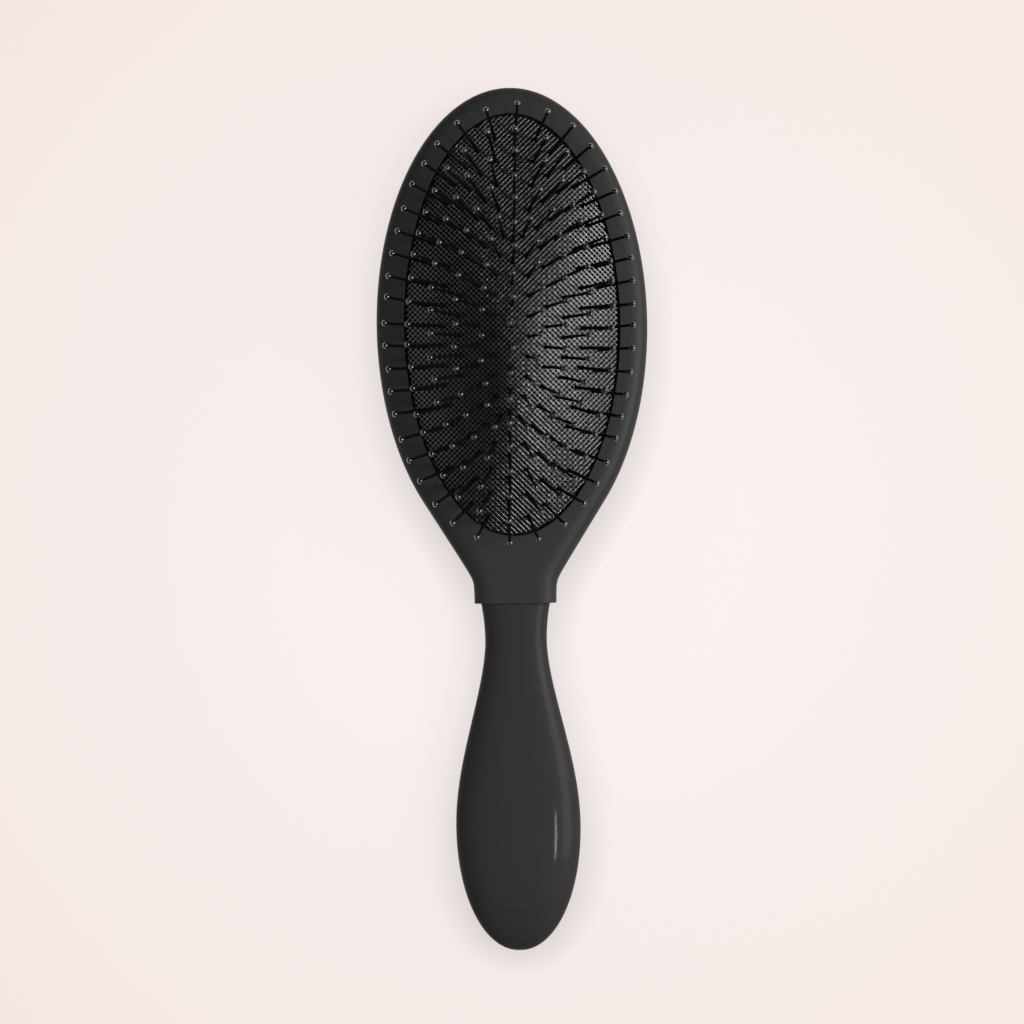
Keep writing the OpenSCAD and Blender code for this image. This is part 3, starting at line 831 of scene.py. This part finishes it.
def paleFloor():
    # a dull table whose paleness only the camera and reflections see, so it hardly lights the
    # brush. That paleness holds a painted shadow near the brush and a painted pool of light,
    # lighter near the middle
    material, tree, shader = newMaterial("pale_table_painted_shade_and_pool")
    tree.nodes.remove(shader)
    path = addNode(tree, "ShaderNodeLightPath")
    seen = addNode(tree, "ShaderNodeMath", {"operation": "MAXIMUM"})
    tree.links.new(path.outputs["Is Camera Ray"], seen.inputs[0])
    tree.links.new(path.outputs["Is Glossy Ray"], seen.inputs[1])
    # painted shadow: an ambient occlusion node, its hemisphere tilted, darkens the glow near the
    # brush
    side = addNode(tree, "ShaderNodeCombineXYZ", dict(zip("XYZ", stage["paintedShadowTilt"])))
    hidden = addNode(tree, "ShaderNodeAmbientOcclusion",
                     {"samples": stage["paintedShadowSamples"], "Distance": stage["paintedShadowReach"]},
                     {"Normal": side.outputs["Vector"]})
    paintedShade = addNode(tree, "ShaderNodeMapRange",
                    {"To Min": stage["lift"] * (1 - stage["paintedShadowDepth"]), "To Max": stage["lift"]},
                    {"Value": hidden.outputs["AO"]})
    lift = addNode(tree, "ShaderNodeMath", {"operation": "MULTIPLY"})
    tree.links.new(seen.outputs[0], lift.inputs[0])
    tree.links.new(paintedShade.outputs["Result"], lift.inputs[1])
    base = addNode(tree, "ShaderNodeBsdfDiffuse", {"Color": linearColour(stage["floor"])})
    # painted pool of light: the glow is lighter near the brush than far from it
    place = addNode(tree, "ShaderNodeTexCoord")
    away = addNode(tree, "ShaderNodeVectorMath", {"operation": "LENGTH"})
    tree.links.new(place.outputs["Object"], away.inputs[0])
    fade = addNode(tree, "ShaderNodeMapRange",
                   {"From Min": stage["poolFrom"], "From Max": stage["poolTo"]},
                   {"Value": away.outputs["Value"]})
    tint = addNode(tree, "ShaderNodeMix", {"data_type": "RGBA"}, {"Factor": fade.outputs["Result"]})
    tint.inputs["A"].default_value = linearColour(stage["glow"])
    tint.inputs["B"].default_value = linearColour(stage["glowFar"])
    glow = addNode(tree, "ShaderNodeEmission", {},
                   {"Color": tint.outputs["Result"], "Strength": lift.outputs[0]})
    both = addNode(tree, "ShaderNodeAddShader")
    tree.links.new(base.outputs[0], both.inputs[0])
    tree.links.new(glow.outputs[0], both.inputs[1])
    tree.links.new(both.outputs[0], tree.nodes["Material Output"].inputs["Surface"])
    h = stage["size"] / 2
    corners = [(-h, -h, 0), (h, -h, 0), (h, h, 0), (-h, h, 0)]
    floor = meshFrom("floor", corners, [(0, 1, 2, 3)], material)


def studioWorld():
    # plain light on the object, and for the camera the same pale tone as the table's far part
    world = bpy.data.worlds.new("studio")
    world.use_nodes = True
    tree = world.node_tree
    shown = addNode(tree, "ShaderNodeBackground",
                    {"Color": linearColour(stage["glowFar"]), "Strength": stage["lift"]})
    light = tree.nodes["Background"]
    light.inputs["Color"].default_value = stage["worldTint"]
    path = addNode(tree, "ShaderNodeLightPath")
    strength = addNode(tree, "ShaderNodeMapRange",
                       {"To Min": stage["world"], "To Max": stage["worldInGloss"]},
                       {"Value": path.outputs["Is Glossy Ray"]})
    tree.links.new(strength.outputs["Result"], light.inputs["Strength"])
    pick = addNode(tree, "ShaderNodeMixShader", {}, {"Fac": path.outputs["Is Camera Ray"]})
    tree.links.new(light.outputs[0], pick.inputs[1])
    tree.links.new(shown.outputs[0], pick.inputs[2])
    tree.links.new(pick.outputs[0], tree.nodes["World Output"].inputs["Surface"])
    bpy.context.scene.world = world


# places and sizes in metres, power in watts
lamps = {
    "key_right": {"place": (0.70, 0.22, 0.42), "size": (0.45, 0.45), "power": 4.0},
    "spark_right": {"place": (0.52, -0.06, 0.59), "size": (0.34, 0.34), "power": 3.9},
    "fill_left": {"place": (-0.62, -0.05, 0.22), "size": (0.50, 0.50), "power": 0.6},
    # a small oval lamp, whose mirror image is the bright crescent on the grip
    "strip_right": {"place": (0.182, -0.149, 0.60), "size": (0.028, 0.09), "power": 0.85,
                    "shape": "ELLIPSE", "colour": (0.90, 0.95, 1.0)},
}
lampAim = (0, 0.02, 0.01)        # all point near the brush's middle


def softLight(name, place, size, power, shape="RECTANGLE", colour=(1, 1, 1)):
    data = bpy.data.lights.new(name, "AREA")
    data.shape = shape
    data.size, data.size_y = size
    data.energy = power
    data.color = colour
    lamp = bpy.data.objects.new(name, data)
    lamp.location = place
    # turned about X, then about Y, so that its long side stays along the brush
    aim = np.array(lampAim) - np.array(place)
    aim /= np.linalg.norm(aim)
    lamp.rotation_mode = "XYZ"
    lamp.rotation_euler = (math.asin(aim[1]), math.atan2(-aim[0], -aim[2]), 0)
    bpy.context.scene.collection.objects.link(lamp)


paleFloor()
studioWorld()
for name, lamp in lamps.items():
    softLight(name, **lamp)

camera = {
    "distance": 0.90,
    "pixelsPerMetre": 3880.0,    # at the height of the widest edge
    "edgeHeight": 8 * mm,
    "centre": (-0.61 * mm, 1.90 * mm),
    "roll": -0.0130,
    "sensor": 36.0,
    "width": 1024,
}
sensorPerPixel = camera["sensor"] / camera["width"]
lens = bpy.data.cameras.new("camera")
lens.sensor_width = camera["sensor"]
lens.lens = camera["pixelsPerMetre"] * sensorPerPixel * (camera["distance"] - camera["edgeHeight"])
lens.clip_start = 0.01
viewer = bpy.data.objects.new("camera", lens)
viewer.location = (camera["centre"][0], camera["centre"][1], camera["distance"])
viewer.rotation_euler = (0, 0, camera["roll"])
bpy.context.scene.collection.objects.link(viewer)
bpy.context.scene.camera = viewer
bpy.context.scene.view_settings.view_transform = "Standard"
print("stage made")
